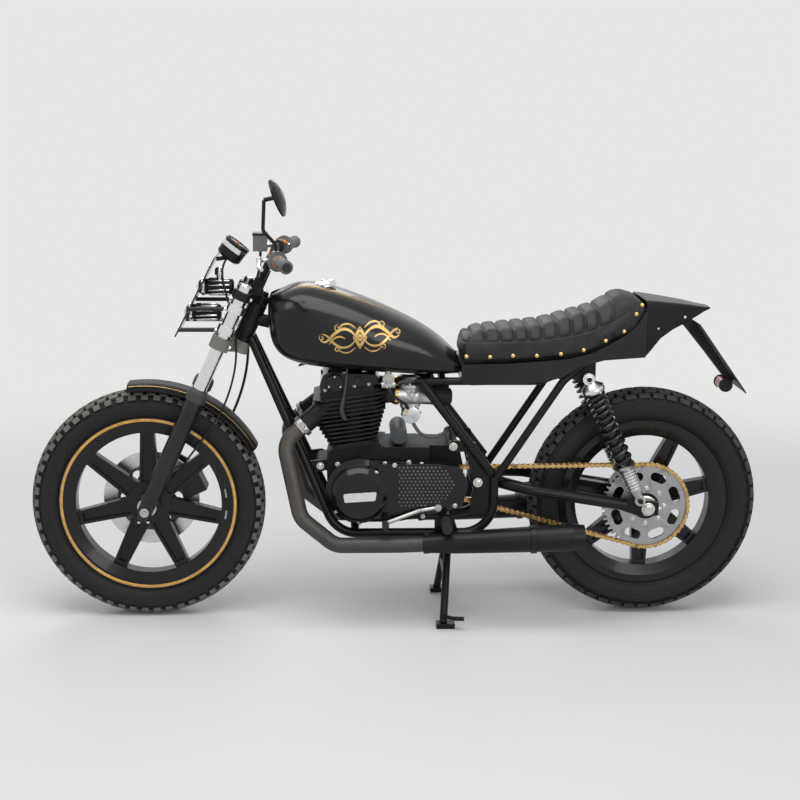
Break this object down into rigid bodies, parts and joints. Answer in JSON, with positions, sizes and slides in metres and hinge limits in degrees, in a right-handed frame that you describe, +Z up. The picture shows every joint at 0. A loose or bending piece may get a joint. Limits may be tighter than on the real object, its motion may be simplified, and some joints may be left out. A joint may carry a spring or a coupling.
{
  "type": "cafe racer motorcycle",
  "caption": "Cafe racer motorcycle with a finned twin engine, chain drive, cast spoked wheels, humped leather seat, short tail cowl and low bars, parked on its centre stand.",
  "frame": {"origin": "on the floor, on the centre plane, midway between the foremost and rearmost points of the tyres", "axes": "+X forward, +Y to the rider's left, +Z up"},
  "size_m": [2.082, 0.6828, 1.2649],
  "materials": {
    "air_filters": "black",
    "bar_controls": "black",
    "brake_caliper": "painted black",
    "brake_hose": "black",
    "brake_pedal": "satin black",
    "cam_cover": "painted black",
    "carburettors": "bare cast alloy",
    "centre_stand": "satin black",
    "crankcase": "painted black",
    "cylinder_head": "painted black",
    "cylinders": "painted black",
    "drive_chain": "gold coloured plates",
    "exhaust_headers": "satin dark grey",
    "footpegs": "bare alloy peg",
    "fork_sliders": "painted black",
    "fork_tubes": "hard chrome",
    "frame": "satin black",
    "front_axle": "zinc plated",
    "front_disc": "ground steel",
    "front_mudguard": "gloss black",
    "front_sprocket": "oiled steel",
    "front_tyre": "matt block tread",
    "front_wheel_casting": "gloss black",
    "fuel_cap": "gloss black",
    "fuel_tank": "gloss black",
    "fuel_tap": "bright",
    "gear_lever": "plated",
    "grips": "grey with orange dots",
    "handlebar": "satin black",
    "headlamp_plate": "satin black",
    "headlamps": "bright barrels",
    "left_engine_cover": "painted black",
    "lower_yoke": "satin black",
    "mirror": "gloss black rim",
    "number_plate": "satin black",
    "rear_axle": "zinc plated",
    "rear_brake": "painted dark",
    "rear_sprocket": "bare alloy",
    "rear_tyre": "matt block tread",
    "rear_wheel_casting": "gloss black",
    "right_engine_cover": "painted black",
    "seat": "charcoal leather",
    "seat_base": "satin black",
    "shock_bodies": "black with bright cap",
    "shock_springs": "gloss black",
    "silencers": "gloss black",
    "speedometer": "bright case",
    "speedometer_cable": "black",
    "starter_motor": "grey",
    "swingarm": "satin black",
    "tail_cowl": "satin black",
    "tail_lamp": "red lens",
    "upper_yoke": "satin black"
  },
  "bodies": {
    "frame": {"air_filters": "air_filters", "brake_pedal": "brake_pedal", "cam_cover": "cam_cover", "carburettors": "carburettors", "crankcase": "crankcase", "cylinder_head": "cylinder_head", "cylinders": "cylinders", "drive_chain": "drive_chain", "exhaust_headers": "exhaust_headers", "footpegs": "footpegs", "frame": "frame", "front_sprocket": "front_sprocket", "fuel_cap": "fuel_cap", "fuel_tank": "fuel_tank", "fuel_tap": "fuel_tap", "gear_lever": "gear_lever", "left_engine_cover": "left_engine_cover", "number_plate": "number_plate", "rear_axle": "rear_axle", "rear_brake": "rear_brake", "right_engine_cover": "right_engine_cover", "seat": "seat", "seat_base": "seat_base", "shock_bodies": "shock_bodies", "shock_springs": "shock_springs", "silencers": "silencers", "starter_motor": "starter_motor", "swingarm": "swingarm", "tail_cowl": "tail_cowl", "tail_lamp": "tail_lamp"},
    "steering": {"lower_yoke": "lower_yoke", "upper_yoke": "upper_yoke", "fork_tubes": "fork_tubes", "fork_sliders": "fork_sliders", "brake_caliper": "brake_caliper", "front_axle": "front_axle", "front_mudguard": "front_mudguard", "handlebar": "handlebar", "grips": "grips", "bar_controls": "bar_controls", "mirror": "mirror", "headlamp_plate": "headlamp_plate", "headlamps": "headlamps", "speedometer": "speedometer", "brake_hose": "brake_hose", "speedometer_cable": "speedometer_cable"},
    "front_wheel": {"front_tyre": "front_tyre", "front_wheel_casting": "front_wheel_casting", "front_disc": "front_disc"},
    "rear_wheel": {"rear_tyre": "rear_tyre", "rear_wheel_casting": "rear_wheel_casting", "rear_sprocket": "rear_sprocket"},
    "centre_stand": {"centre_stand": "centre_stand"}
  },
  "joints": [
    {"name": "steering_turn", "type": "hinge", "parent": "frame", "child": "steering", "pos_m": [0.41285, 0, 0.85621], "axis": [-0.4179, 0, 0.9085], "range_deg": [-30, 30]},
    {"name": "front_wheel_spin", "type": "hinge", "parent": "steering", "child": "front_wheel", "pos_m": [0.709, 0, 0.332], "axis": [0, 1, 0], "continuous": true},
    {"name": "rear_wheel_spin", "type": "hinge", "parent": "frame", "child": "rear_wheel", "pos_m": [-0.711, 0, 0.334], "axis": [0, 1, 0], "continuous": true},
    {"name": "stand_fold", "type": "hinge", "parent": "frame", "child": "centre_stand", "pos_m": [-0.15004, 0, 0.222], "axis": [0, 1, 0], "range_deg": [0, 76]}
  ]
}
